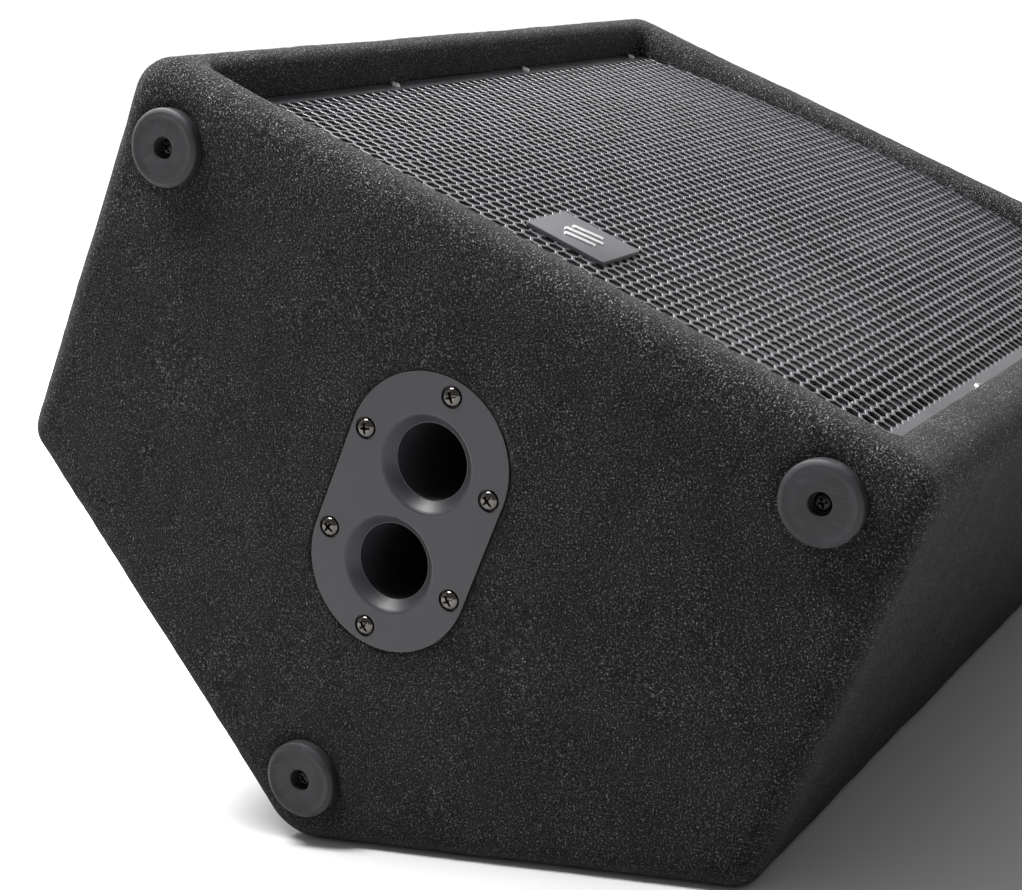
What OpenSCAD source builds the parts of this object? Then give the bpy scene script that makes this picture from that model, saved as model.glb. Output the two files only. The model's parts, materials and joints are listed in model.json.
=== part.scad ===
// Stage monitor wedge: a carpeted plywood cabinet with a twelve inch woofer and a horn
// behind an arched perforated grille. It rests on one of its two sloping back faces.

/* [Cabinet] */
// Length of the cabinet from one side to the other
cab_length = 550; // [530:5:600]
// Half the depth of the front, from the mid line to the outer face
front_half = 214; // [205:1:225]
// Distance from the socket centre to the front rim
front_dist = 138; // [134:1:146]
// Distance from the socket centre to each resting face
back_dist = 167.8; // [164:0.2:175]
// Slope of the resting faces, which is half the angle between them
tilt = 28.5; // [27:0.5:30]
// Thickness of the plywood
wood = 18; // [15:1:19]
// Thickness of the carpet
carpet = 4; // [3:0.5:4.5]
// Radius of the edges between the sides and the other faces
side_edge_r = 12; // [10:1:14]
// Distance from the socket centre to the front of the baffle
baffle_dist = 100; // [98:1:102]

/* [Grille] */
// Height of the crown of the grille above the socket centre
grille_crown = 130; // [129:0.5:131]
// Rise of the arched grille from its long edges to its crown
grille_rise = 12; // [10:0.5:13]
// Thickness of the grille sheet
grille_sheet = 1.5; // [1:0.1:2]
// Side of the badge along the arch
badge_w = 43; // [40:1:50]
// Side of the badge along the cabinet
badge_h = 41; // [34:1:44]
// Distance from the side to the middle of the badge
badge_place = 78; // [70:1:120]

/* [Stand fittings] */
// Radius of the pole bores, for a 35 mm pole
pole_bore_r = 18.25; // [17.75:0.05:18.5]
// Depth of the pole bores below the side
pole_depth = 76; // [70:1:78]
// Distance between the two pole bores
pole_spacing = 53.7; // [52:0.1:55]
// Lean of the second pole bore
pole_lean = 7; // [5:0.5:8]
// Diameter of the rubber feet
foot_d = 37.5; // [34:0.5:40]
// Height of the rubber feet above the carpet
foot_h = 6.5; // [6:0.5:9]

/* [Woofer] */
// Outer radius of the woofer's flange
woofer_r = 155; // [153:1:156]
// Distance from the side to the woofer's axis
woofer_place = 186; // [185:1:187]

/* [Horn] */
// Distance from the side to the horn's axis
horn_place = 432; // [430:1:434]
// Side of the horn's square flange
horn_flange = 164; // [160:1:168]
// Radius of the horn's mouth
horn_mouth_r = 70; // [66:1:71]
// Radius of the horn's throat
horn_throat_r = 12.7; // [12:0.1:13]
// Distance from the mid line to each port
port_offset = 128; // [126:1:129]

/* [Hidden] */
$fn = 64;

// The cabinet frame: x runs across the front from rear to toe, y runs out of the front,
// and z runs along the cabinet, from 0 on the socket side to -cab_length.
wall = carpet + wood;
arc_steps = 8;
// Outer corner radii in order: rear rim, rear knee, heel, toe knee, toe rim
corner_r = [20, 16, 28, 16, 20];
rim_width = wall + carpet;
// Extra thickness of the rim along the toe
toe_pad = 7;
// Moves the middle of the resting face to the origin
heel_x = back_dist * tan(tilt);
knee_x = (front_half - back_dist * sin(tilt)) / cos(tilt);
floor_shift = (knee_x - heel_x) / 2;

plate_end_r = 42;
plate_length = 140;
plate_proud = 1;
// Depth of each bore's flared mouth, and its profile outwards from its foot as parts of that depth
mouth_depth = 5.5;
mouth_profile = [[0, -1], [0.62, -0.28], [0.74, -0.15], [0.88, -0.04], [1, 0]];
// Width of the step between the mouth and the bore
mouth_step = 0.4;
// Radius of the sinking round each of the plate's screws, and the level of its bottom
sinking_r = 5.4;
sinking_level = -0.5;
socket_screw_r = 4.6;
tube_wall = 3.25;
// Half sides of the sawn opening behind the plate
socket_cut = [26, 54];
socket_screws = [[0, 62], [0, -62], [34.7, 26.9], [34.7, -26.9], [-34.7, 26.9], [-34.7, -26.9]];
toe_foot = [172, 105];
top_foot = [-181, 100.5];
rear_foot = [-1, -152];
foot_recess_r = 5.4;

baffle_hole_r = woofer_r - 13;
horn_hole_r = horn_mouth_r + 2;
port_r = 26;
port_hole_r = port_r + 4;
horn_depth = 100;
flange_t = 5;
screw_circle_r = woofer_r - 4.5;

grille_half = front_half - rim_width - 1.5;
grille_arc_r = (grille_half * grille_half + grille_rise * grille_rise) / (2 * grille_rise);
grille_screw_x = grille_half - 3.8;
grille_screw_inset = 43;
grille_screw_count = 4;
badge_t = 2;
badge_frame = 3;
badge_sunk = 0.5;

connector_size = [110, 80];
connector_y = 30;
jack_gap = 26;
// Opening in the wood behind the sockets
jack_cut = [54, 46];
jack_bore_r = 3.2;
jack_nose_r = 4.7;

handle_y = -10;
handle_flange = [210, 110];
handle_cup = [190, 90];
handle_depth = 58;
handle_wall = 3;
handle_lip = 20;

cloth = [0.12, 0.12, 0.125];
ply = [0.62, 0.47, 0.3];
steel_black = [0.1, 0.1, 0.11];
steel = [0.6, 0.6, 0.62];
plastic = [0.13, 0.12, 0.12];
rubber = [0.27, 0.26, 0.27];
ferrite = [0.2, 0.2, 0.21];
paper = [0.09, 0.09, 0.09];
copper = [0.72, 0.4, 0.2];

// ---- shared geometry ----

function unit(v) = v / norm(v);

// Points of the corner q between p and s, rounded to radius r
function fillet(p, q, s, r) =
  r <= 0 ? [q] :
  let (
    a = unit(p - q),
    b = unit(s - q),
    half = acos(a * b) / 2,
    c = q + unit(a + b) * r / sin(half),
    from = q + a * r / tan(half) - c,
    to = q + b * r / tan(half) - c,
    sweep = 180 - 2 * half
  )
  [for (i = [0:arc_steps])
    c + (sin(sweep * (1 - i / arc_steps)) * from + sin(sweep * i / arc_steps) * to) / sin(sweep)];

function rounded(pts, radii) =
  let (n = len(pts))
  [for (i = [0:n - 1]) each fillet(pts[(i + n - 1) % n], pts[i], pts[(i + 1) % n], radii[i])];

function box_points(w, h) = [[-w / 2, -h / 2], [w / 2, -h / 2], [w / 2, h / 2], [-w / 2, h / 2]];

// The five corners of the cabinet's side, moved in by d, with the front at y = front
function outline(d, front) =
  let (h = front_half - d, b = back_dist - d, knee = -(b - h * sin(tilt)) / cos(tilt))
  [[-h, front], [-h, knee], [0, -b / cos(tilt)], [h, knee], [h, front]];

function corners_in(d) = [for (r = corner_r) max(r - d, 0)];

// Height of the top of the grille at x
function grille_top(x) = grille_crown - grille_arc_r + sqrt(grille_arc_r * grille_arc_r - x * x);

// Carries the cabinet frame into the part's frame, standing on the resting face
module stand() {
  translate([-cab_length / 2, floor_shift, back_dist])
    rotate([90 + tilt, 0, 0])
      rotate([0, -90, 0])
        children();
}

module prism(from, to) {
  translate([0, 0, from])
    linear_extrude(to - from)
      children();
}

// Places a turned shape on the front, with its axis out of the front
module on_front(x, place, level) {
  translate([x, level, -place])
    rotate([-90, 0, 0])
      children();
}

// Places a shape on a sloping panel's inner face: side -1 is the rear one, 1 the floor one
module on_slope(side, along, place) {
  rotate([0, 0, side * tilt])
    translate([along, -(back_dist - wall), -place])
      rotate([-90, 0, 0])
        children();
}

// Places a shape on the upper rear face, with z out of it
module on_rear(y, place) {
  translate([-front_half, y, -place])
    rotate([0, -90, 0])
      children();
}

// Places a shape on the far side, with z out of it
module on_far_side(y) {
  translate([0, y, -cab_length])
    rotate([0, 180, 0])
      children();
}

module slab(w, h, r, low, high) {
  translate([0, 0, low])
    linear_extrude(high - low)
      polygon(rounded(box_points(w, h), [r, r, r, r]));
}

module stadium(r, half, low, high) {
  for (s = [-1, 1])
    translate([0, s * half, low])
      cylinder(h = high - low, r = r);
  translate([-r, -half, low])
    cube([2 * r, 2 * half, high - low]);
}

// A cross-recess pan head screw with its head's underside at z = 0
module pan_screw(head_r, shank_r, length) {
  head_h = head_r * 0.55;
  slot = head_r * 0.22;
  difference() {
    rotate_extrude()
      polygon([
        [0, -length], [shank_r * 0.4, -length], [shank_r, -length + shank_r * 2],
        [shank_r, 0], [head_r, 0], [head_r, head_h * 0.35], [head_r * 0.85, head_h * 0.75],
        [head_r * 0.5, head_h], [0, head_h]
      ]);
    for (a = [0, 90])
      rotate([0, 0, a])
        translate([-head_r * 0.55, -slot / 2, head_h * 0.45])
          cube([head_r * 1.1, slot, head_h]);
  }
}

// ---- plywood ----

module side_wood() {
  cut = side_edge_r - carpet;
  front = front_dist - carpet;
  hull() {
    linear_extrude(wood - cut)
      polygon(rounded(outline(carpet, front), corners_in(carpet)));
    linear_extrude(wood)
      polygon(rounded(outline(carpet + cut, front - cut), corners_in(carpet + cut)));
  }
}

// One of the four panels between the sides: edge 0 is upper rear, 3 is the toe
module panel(edge) {
  outer = outline(carpet, front_dist - carpet);
  inner = outline(wall, front_dist - carpet);
  prism(-cab_length + wall, -wall)
    intersection() {
      polygon([outer[edge], outer[edge + 1], inner[edge + 1], inner[edge]]);
      polygon(rounded(outer, corners_in(carpet)));
    }
}

module side_panel_left() {
  color(ply) stand() difference() {
    translate([0, 0, -wall]) side_wood();
    translate([-socket_cut[0], -socket_cut[1], -wall - 1])
      cube([2 * socket_cut[0], 2 * socket_cut[1], wall + 2]);
  }
}

module side_panel_right() {
  color(ply) stand() difference() {
    translate([0, 0, -cab_length + wall]) mirror([0, 0, 1]) side_wood();
    on_far_side(handle_y)
      slab(handle_cup[0] + 1, handle_cup[1] + 1, 21, -wall - 1, 0);
  }
}

module floor_panel() {
  color(ply) stand() panel(2);
}

module rear_lower_panel() {
  color(ply) stand() panel(1);
}

module rear_upper_panel() {
  color(ply) stand() difference() {
    panel(0);
    on_rear(connector_y, cab_length / 2)
      slab(jack_cut[0], jack_cut[1], 4, -wall - 1, 0);
  }
}

// The toe panel, with the strip that thickens its rim
module toe_panel() {
  color(ply) stand() {
    panel(3);
    translate([front_half - wall - toe_pad, baffle_dist, -cab_length + wall])
      cube([toe_pad, front_dist - carpet - baffle_dist, cab_length - 2 * wall]);
  }
}

module front_baffle() {
  half = front_half - wall;
  color(ply) stand() difference() {
    translate([-half, baffle_dist - wood, -cab_length + wall])
      cube([2 * half, wood, cab_length - 2 * wall]);
    on_front(0, woofer_place, baffle_dist - wood - 1)
      cylinder(h = wood + 2, r = baffle_hole_r, $fn = 128);
    on_front(0, horn_place, baffle_dist - wood - 1)
      cylinder(h = wood + 2, r = horn_hole_r, $fn = 96);
    for (s = [-1, 1])
      on_front(s * port_offset, horn_place, baffle_dist - wood - 1)
        cylinder(h = wood + 2, r = port_hole_r);
  }
}

module baffle_cleats() {
  half = front_half - wall;
  size = 18;
  low = baffle_dist - wood - size;
  color(ply) stand() {
    for (s = [-1, 1])
      translate([s > 0 ? half - size : -half, low, -cab_length + wall])
        cube([size, size, cab_length - 2 * wall]);
    for (z = [-wall - size, -cab_length + wall])
      translate([-half + size + 0.2, low, z])
        cube([2 * (half - size) - 0.4, size, size]);
  }
}

module grille_battens() {
  width = 11;
  gap = 1;
  height = grille_top(grille_half) - grille_sheet - 0.3 - baffle_dist;
  outer = front_half - rim_width - gap;
  color("black") stand()
    for (x = [-outer, outer - toe_pad - width])
      translate([x, baffle_dist, -cab_length + rim_width + gap])
        cube([width, height, cab_length - 2 * (rim_width + gap)]);
}

// ---- carpet ----

// A strip of carpet on one of the four long faces
module face_carpet(edge) {
  outer = outline(0, baffle_dist);
  inner = outline(carpet, baffle_dist);
  prism(-cab_length + carpet, -carpet)
    intersection() {
      polygon([outer[edge], outer[edge + 1], inner[edge + 1], inner[edge]]);
      polygon(rounded(outer, [0, corner_r[1], corner_r[2], corner_r[3], 0]));
    }
}

module side_carpet() {
  linear_extrude(carpet)
    polygon(rounded(outline(0, baffle_dist), [0, corner_r[1], corner_r[2], corner_r[3], 0]));
}

// A block over the front whose top edges are rounded as the rim's are, moved in by d
module rim_block(d, low) {
  h = front_half - d;
  top = front_dist - d;
  near = -d;
  far = -cab_length + d;
  rim_r = corner_r[0] - d;
  end_r = side_edge_r - d;
  intersection() {
    prism(far, near)
      polygon(rounded([[-h, low], [h, low], [h, top], [-h, top]], [0, 0, rim_r, rim_r]));
    translate([h, 0, 0])
      rotate([0, -90, 0])
        linear_extrude(2 * h)
          polygon(rounded([[far, low], [near, low], [near, top], [far, top]], [0, 0, end_r, end_r]));
  }
}

// A box over the front opening, with its walls at d from the outer faces
module opening_block(d, low) {
  half = front_half - d;
  translate([-half, low, -cab_length + d])
    cube([2 * half - toe_pad, front_dist - low + 1, cab_length - 2 * d]);
}

module carpet_side_left() {
  color(cloth) stand() difference() {
    translate([0, 0, -carpet]) side_carpet();
    stadium(plate_end_r + 0.5, plate_length / 2 - plate_end_r, -carpet - 1, 1);
  }
}

module carpet_side_right() {
  color(cloth) stand() difference() {
    translate([0, 0, -cab_length]) side_carpet();
    on_far_side(handle_y)
      slab(handle_flange[0] + 1, handle_flange[1] + 1, 25.5, -carpet - 1, 1);
  }
}

module carpet_floor() {
  color(cloth) stand() face_carpet(2);
}

module carpet_rear_lower() {
  color(cloth) stand() face_carpet(1);
}

module carpet_rear_upper() {
  color(cloth) stand() difference() {
    face_carpet(0);
    on_rear(connector_y, cab_length / 2)
      slab(connector_size[1] + 1, connector_size[0] + 1, 6.5, -carpet - 1, 1);
  }
}

module carpet_toe() {
  color(cloth) stand() face_carpet(3);
}

module carpet_rim() {
  color(cloth) stand() difference() {
    rim_block(0, baffle_dist);
    difference() {
      rim_block(carpet, baffle_dist - 1);
      opening_block(wall, baffle_dist - 2);
    }
    opening_block(rim_width, baffle_dist - 1);
  }
}

// ---- grille and badge ----

module grille() {
  half_len = cab_length / 2 - rim_width - 1.5;
  color(steel_black) stand()
    prism(-cab_length / 2 - half_len, -cab_length / 2 + half_len)
      intersection() {
        translate([0, grille_crown - grille_arc_r])
          difference() {
            circle(r = grille_arc_r, $fn = 360);
            circle(r = grille_arc_r - grille_sheet, $fn = 360);
          }
        translate([-grille_half, baffle_dist])
          square([2 * grille_half - toe_pad, front_dist - baffle_dist]);
      }
}

module grille_screws() {
  pitch = (cab_length - 2 * grille_screw_inset) / (grille_screw_count - 1);
  color(steel) stand()
    for (x = [-grille_screw_x, grille_screw_x - toe_pad])
      for (i = [0:grille_screw_count - 1])
        on_front(x, grille_screw_inset + i * pitch, grille_top(x))
          pan_screw(3.4, 1.5, 14);
}

module badge() {
  color([0.45, 0.45, 0.47]) stand()
    on_front(0, badge_place, grille_crown)
      difference() {
        slab(badge_w, badge_h, 2, 0, badge_t);
        slab(badge_w - 2 * badge_frame, badge_h - 2 * badge_frame, 1, badge_t - badge_sunk, badge_t + 1);
      }
}

// ---- pole socket and feet ----

// One pole bore leaned by lean, with its mouth at the side's surface
module pole_axis(s, lean) {
  translate([0, s * pole_spacing / 2, 0])
    rotate([s * lean, 0, 0])
      children();
}

// Opens a bore's mouth out to the plate's face; shift follows the lean of the bore
module pole_mouth(s, shift) {
  foot = pole_bore_r + mouth_step;
  translate([0, s * (pole_spacing / 2 + shift), plate_proud])
    rotate_extrude($fn = 96)
      polygon(concat(
        [[0, 1], [0, -mouth_depth]],
        [for (p = mouth_profile) [foot, 0] + mouth_depth * p],
        [[foot + mouth_depth, 1]]
      ));
}

module pole_socket() {
  leans = [[1, 0], [-1, pole_lean]];
  neck = 2;
  color(plastic) stand() difference() {
    union() {
      stadium(plate_end_r, plate_length / 2 - plate_end_r, -carpet, plate_proud);
      stadium(socket_cut[0] - neck, socket_cut[1] - socket_cut[0], -wall, -carpet);
      for (p = leans)
        pole_axis(p[0], p[1])
          translate([0, 0, -pole_depth - tube_wall])
            cylinder(h = pole_depth, r = pole_bore_r + tube_wall, $fn = 96);
    }
    for (p = leans) {
      pole_axis(p[0], p[1])
        translate([0, 0, -pole_depth])
          cylinder(h = pole_depth + 10, r = pole_bore_r, $fn = 96);
      pole_mouth(p[0], (mouth_depth - plate_proud) * tan(p[1]));
    }
    for (p = socket_screws)
      translate([p[0], p[1], sinking_level])
        cylinder(h = plate_proud + 1, r = sinking_r);
  }
}

module pole_socket_screws() {
  color(steel_black) stand()
    for (p = socket_screws)
      translate([p[0], p[1], sinking_level])
        pan_screw(socket_screw_r, 2.1, 17);
}

// A rubber foot with a chamfered edge, a flat crest that it rests on and a dished middle
module foot(place) {
  r = foot_d / 2;
  chamfer = 2.2;
  crest = 1.2;
  dish = 0.8;
  color(rubber) stand()
    translate([place[0], place[1], 0])
      rotate_extrude($fn = 96)
        polygon([
          [foot_recess_r, 0], [r, 0], [r, foot_h - chamfer * 0.6], [r - chamfer, foot_h],
          [r - chamfer - crest, foot_h], [r - 2 * chamfer - crest, foot_h - dish],
          [foot_recess_r + 1, foot_h - dish], [foot_recess_r, foot_h - dish * 1.5]
        ]);
}

module foot_toe() {
  foot(toe_foot);
}

module foot_top() {
  foot(top_foot);
}

module foot_rear() {
  foot(rear_foot);
}

module foot_screws() {
  color(steel_black) stand()
    for (p = [toe_foot, top_foot, rear_foot])
      translate([p[0], p[1], 1])
        pan_screw(5, 2.2, 20);
}

// ---- woofer, with z = 0 on the baffle's front ----

module woofer_frame() {
  stand() on_front(0, woofer_place, baffle_dist) children();
}

module turned(points) {
  rotate_extrude($fn = 128)
    polygon(points);
}

module woofer_basket() {
  wall_r = woofer_r - 13.5;
  color(steel_black) woofer_frame() difference() {
    union() {
      turned([
        [woofer_r, flange_t], [woofer_r, 0], [wall_r, 0], [wall_r, -12], [72, -85], [32, -85],
        [32, -82], [70.5, -82], [wall_r - 2.5, -10.5], [wall_r - 2.5, flange_t]
      ]);
      turned([[60, -71.5], [83, -71.5], [84, -69.5], [60, -69.5]]);
    }
    for (a = [0:60:300])
      rotate([0, 0, a])
        translate([60, -25, -66])
          cube([90, 50, 40]);
  }
}

module woofer_gasket() {
  color(rubber) woofer_frame()
    turned([[141.2, flange_t], [146, flange_t], [146, flange_t + 4], [141.2, flange_t + 4]]);
}

module woofer_surround() {
  roll = 5.5;
  skin = 0.8;
  roll_x = 128 + roll;
  color(rubber) woofer_frame()
    rotate_extrude($fn = 128) {
      translate([124, flange_t])
        square([roll_x - roll + skin - 124, skin]);
      translate([roll_x + roll - skin, flange_t])
        square([141 - roll_x - roll + skin, skin]);
      intersection() {
        translate([roll_x, flange_t])
          difference() {
            circle(r = roll, $fn = 64);
            circle(r = roll - skin, $fn = 64);
          }
        translate([roll_x - roll, flange_t])
          square([2 * roll, roll]);
      }
    }
}

module woofer_cone() {
  color(paper) woofer_frame()
    turned([[128, 5], [124, 5], [25.6, -62], [25.6, -63], [124.4, 4], [128, 4]]);
}

module woofer_dust_cap() {
  base_r = 38;
  rise = 12;
  base_z = -53.6;
  ball = (base_r * base_r + rise * rise) / (2 * rise);
  color(paper) woofer_frame()
    rotate_extrude($fn = 96)
      intersection() {
        translate([0, base_z + rise - ball])
          difference() {
            circle(r = ball, $fn = 180);
            circle(r = ball - 0.8, $fn = 180);
          }
        translate([0, base_z])
          square([base_r, rise]);
      }
}

module woofer_voice_coil() {
  color(copper) woofer_frame()
    turned([[25.3, -105], [25.6, -105], [25.6, -97], [26.1, -97], [26.1, -81], [25.6, -81],
      [25.6, -60], [25.3, -60]]);
}

module woofer_spider() {
  mid = -69.1;
  wave = 1.5;
  waves = 5;
  from = 25.7;
  to = 57.7;
  steps = 40;
  rim = 64;
  half = 0.4;
  line = [for (i = [0:steps]) [from + (to - from) * i / steps, mid + wave * sin(360 * waves * i / steps)]];
  top = [for (i = [0:steps]) line[i] + [0, half]];
  low = [for (i = [steps:-1:0]) line[i] - [0, half]];
  color([0.75, 0.6, 0.35]) woofer_frame()
    turned(concat(top, [[rim, mid + half], [rim, mid - half]], low));
}

module woofer_top_plate() {
  color(steel) woofer_frame()
    turned([[26.8, -93], [62, -93], [62, -85], [26.8, -85]]);
}

module woofer_magnet() {
  color(ferrite) woofer_frame()
    turned([[38, -115], [78, -115], [78, -93], [38, -93]]);
}

module woofer_back_plate() {
  color(steel) woofer_frame()
    turned([[10, -123], [70, -123], [70, -115], [24.6, -115], [24.6, -85], [10, -85]]);
}

module woofer_terminals() {
  color(plastic) woofer_frame()
    rotate([0, 0, 30])
      translate([75, -10, -85])
        cube([14, 20, 6]);
}

module woofer_screws() {
  color(steel_black) woofer_frame()
    for (a = [22.5:45:360])
      rotate([0, 0, a])
        translate([screw_circle_r, 0, flange_t])
          pan_screw(4, 2, 20);
}

// ---- horn and its driver, with z = 0 on the baffle's front ----

module horn_frame() {
  stand() on_front(0, horn_place, baffle_dist) children();
}

function flare_r(z) =
  horn_throat_r * pow(horn_mouth_r / horn_throat_r, (z + horn_depth) / (horn_depth + flange_t));

module horn() {
  steps = 14;
  skin = 3.5;
  levels = [for (i = [0:steps]) -horn_depth + (horn_depth + flange_t) * i / steps];
  color(plastic) horn_frame() difference() {
    union() {
      slab(horn_flange, horn_flange, 8, 0, flange_t);
      turned(concat(
        [[0, -horn_depth], [flare_r(-horn_depth) + skin, -horn_depth]],
        [for (z = levels) if (z < 0) [flare_r(z) + skin, z]],
        [[flare_r(0) + skin, 1], [0, 1]]
      ));
      turned([[0, -horn_depth], [40, -horn_depth], [40, -horn_depth + 5], [0, -horn_depth + 5]]);
    }
    turned(concat(
      [[0, -horn_depth - 1], [horn_throat_r, -horn_depth - 1]],
      [for (z = levels) [flare_r(z), z]],
      [[horn_mouth_r, flange_t + 1], [0, flange_t + 1]]
    ));
  }
}

module horn_screws() {
  place = horn_flange / 2 - 9;
  color(steel_black) horn_frame()
    for (x = [-place, place])
      for (y = [-place, place])
        translate([x, y, flange_t])
          pan_screw(4, 2, 20);
}

module driver_front_plate() {
  color(steel) horn_frame()
    turned([[12.7, -136], [21.6, -136], [21.6, -106], [43, -106], [43, -100], [12.7, -100]]);
}

module driver_magnet() {
  color(ferrite) horn_frame()
    turned([[27, -130], [43, -130], [43, -106], [27, -106]]);
}

module driver_rear_plate() {
  color(steel) horn_frame()
    turned([[23, -136], [43, -136], [43, -130], [23, -130]]);
}

module driver_diaphragm() {
  base_r = 22.4;
  rise = 8;
  base_z = -138;
  skin = 0.4;
  ball = (base_r * base_r + rise * rise) / (2 * rise);
  color(steel) horn_frame()
    rotate_extrude($fn = 96) {
      translate([base_r - skin, base_z])
        square([skin, 7]);
      intersection() {
        translate([0, base_z - rise + ball])
          difference() {
            circle(r = ball, $fn = 180);
            circle(r = ball - skin, $fn = 180);
          }
        translate([0, base_z - rise])
          square([base_r, rise]);
      }
    }
}

module driver_surround() {
  color(rubber) horn_frame()
    turned([[22.5, -138.4], [34, -138.4], [34, -136], [28, -136], [28, -138], [22.5, -138]]);
}

module driver_cover() {
  color(steel_black) horn_frame()
    turned([[0, -158], [41, -158], [43, -156], [43, -136], [39, -136], [39, -154], [0, -154]]);
}

module port_tubes() {
  color(plastic) stand()
    for (s = [-1, 1])
      on_front(s * port_offset, horn_place, baffle_dist)
        turned([[port_r, -110], [port_r + 3, -110], [port_r + 3, 0], [port_r + 10, 0],
          [port_r + 8, 3], [port_r + 3, 3], [port_r, 0]]);
}

// ---- crossover, damping and wiring ----

board = [140, 90];
board_level = 8;
board_t = 1.6;
board_along = -30;
board_place = 300;

module crossover_frame() {
  stand() on_slope(-1, board_along, board_place) rotate([0, 0, 90]) children();
}

module board_corners() {
  for (x = [-1, 1])
    for (y = [-1, 1])
      translate([x * (board[0] / 2 - 8), y * (board[1] / 2 - 8), 0])
        children();
}

module crossover_board() {
  color([0.12, 0.3, 0.16]) crossover_frame() {
    slab(board[0], board[1], 3, board_level, board_level + board_t);
    board_corners() cylinder(h = board_level, r = 4);
  }
}

module crossover_coils() {
  color(copper) crossover_frame()
    for (x = [-42, 8])
      translate([x, 16, board_level + board_t])
        rotate_extrude()
          polygon([[9, 0], [22, 0], [22, 16], [9, 16]]);
}

module crossover_capacitors() {
  color([0.75, 0.72, 0.3]) crossover_frame()
    for (i = [0:2])
      translate([-48 + i * 38, -24, board_level + board_t + 9])
        rotate([0, 90, 0])
          cylinder(h = 32, r = 9);
}

module crossover_resistor() {
  color([0.85, 0.85, 0.82]) crossover_frame()
    translate([44, 12, board_level + board_t])
      slab(11, 48, 1, 0, 10);
}

module crossover_screws() {
  color(steel) crossover_frame()
    board_corners()
      translate([0, 0, board_level + board_t])
        pan_screw(3, 1.5, 18);
}

module damping_foam() {
  color([0.4, 0.4, 0.38]) stand()
    on_slope(1, 30, cab_length / 2)
      slab(150, 420, 12, 0.2, 20);
}

// A point, and the direction, at t on the curve with four control points p
function curve_point(p, t) =
  pow(1 - t, 3) * p[0] + 3 * t * pow(1 - t, 2) * p[1] + 3 * t * t * (1 - t) * p[2] + pow(t, 3) * p[3];
function curve_dir(p, t) =
  unit(pow(1 - t, 2) * (p[1] - p[0]) + 2 * t * (1 - t) * (p[2] - p[1]) + t * t * (p[3] - p[2]));

// A round wire along the curve with four control points p
module wire(p) {
  r = 2;
  sides = 8;
  rings = 14;
  points = [for (i = [0:rings - 1])
    let (
      t = i / (rings - 1),
      along = curve_dir(p, t),
      across = unit(cross(along, [1, 0, 0])),
      up = cross(along, across)
    )
    for (j = [0:sides - 1])
      curve_point(p, t) + r * (cos(360 * j / sides) * across + sin(360 * j / sides) * up)];
  skin = [for (i = [0:rings - 2])
    for (j = [0:sides - 1])
      let (a = i * sides + j, b = i * sides + (j + 1) % sides)
      each [[a, b + sides, b], [a, a + sides, b + sides]]];
  ends = [[for (j = [0:sides - 1]) j], [for (j = [sides - 1:-1:0]) (rings - 1) * sides + j]];
  polyhedron(points, concat(skin, ends));
}

module internal_wires() {
  color([0.55, 0.1, 0.1]) stand() {
    wire([[-179.5, 30, -262], [-165, 10, -262], [-150, -30, -280], [-130, -66, -290]]);
    wire([[-62, -86, -250], [-66, -60, -240], [-78, -20, -224], [-90, 8, -212]]);
    wire([[-60, -86, -360], [-40, -76, -390], [-10, -70, -410], [0, -60, -430]]);
  }
}

// ---- connectors on the upper rear face ----

module connector_frame() {
  stand() on_rear(connector_y, cab_length / 2) children();
}

module jacks() {
  for (s = [-1, 1])
    translate([s * jack_gap / 2, 0, 0])
      children();
}

module connector_plate() {
  color(plastic) connector_frame() difference() {
    slab(connector_size[1], connector_size[0], 6, -carpet, 0.5);
    jacks() translate([0, 0, -carpet - 1]) cylinder(h = carpet + 3, r = jack_nose_r + 0.1);
  }
}

module connector_screws() {
  color(steel_black) connector_frame()
    for (x = [-1, 1])
      for (y = [-1, 1])
        translate([x * (connector_size[1] / 2 - 8), y * (connector_size[0] / 2 - 8), 0.5])
          pan_screw(4, 1.8, 16);
}

module jack_sockets() {
  color([0.08, 0.08, 0.08]) connector_frame() jacks() difference() {
    union() {
      translate([-10, -11, -carpet - 27]) cube([20, 22, 27]);
      translate([0, 0, -carpet - 1]) cylinder(h = carpet + 4, r = jack_nose_r);
    }
    translate([0, 0, -carpet - 21]) cylinder(h = 40, r = jack_bore_r);
  }
}

module jack_nuts() {
  color(steel) connector_frame() jacks()
    translate([0, 0, 0.5])
      difference() {
        cylinder(h = 2, r = 7, $fn = 6);
        translate([0, 0, -1]) cylinder(h = 4, r = jack_nose_r + 0.1);
      }
}

// ---- hand pocket on the far side ----

module handle_pocket() {
  inner = [handle_cup[0] - 2 * handle_wall, handle_cup[1] - 2 * handle_wall];
  color(plastic) stand() on_far_side(handle_y) difference() {
    union() {
      slab(handle_flange[0], handle_flange[1], 25, -carpet, 1);
      slab(handle_cup[0], handle_cup[1], 20, -handle_depth, -carpet);
    }
    slab(inner[0], inner[1], 17, -handle_depth + handle_wall, -handle_wall - 4);
    translate([0, -handle_lip / 2, 0])
      slab(inner[0], inner[1] - handle_lip, 17, -handle_depth + handle_wall, 2);
  }
}

module handle_screws() {
  color(steel_black) stand() on_far_side(handle_y)
    for (x = [-84, 0, 84])
      for (y = [-1, 1])
        translate([x, y * (handle_flange[1] / 2 - 5), 1])
          pan_screw(4, 1.8, 20);
}

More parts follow.
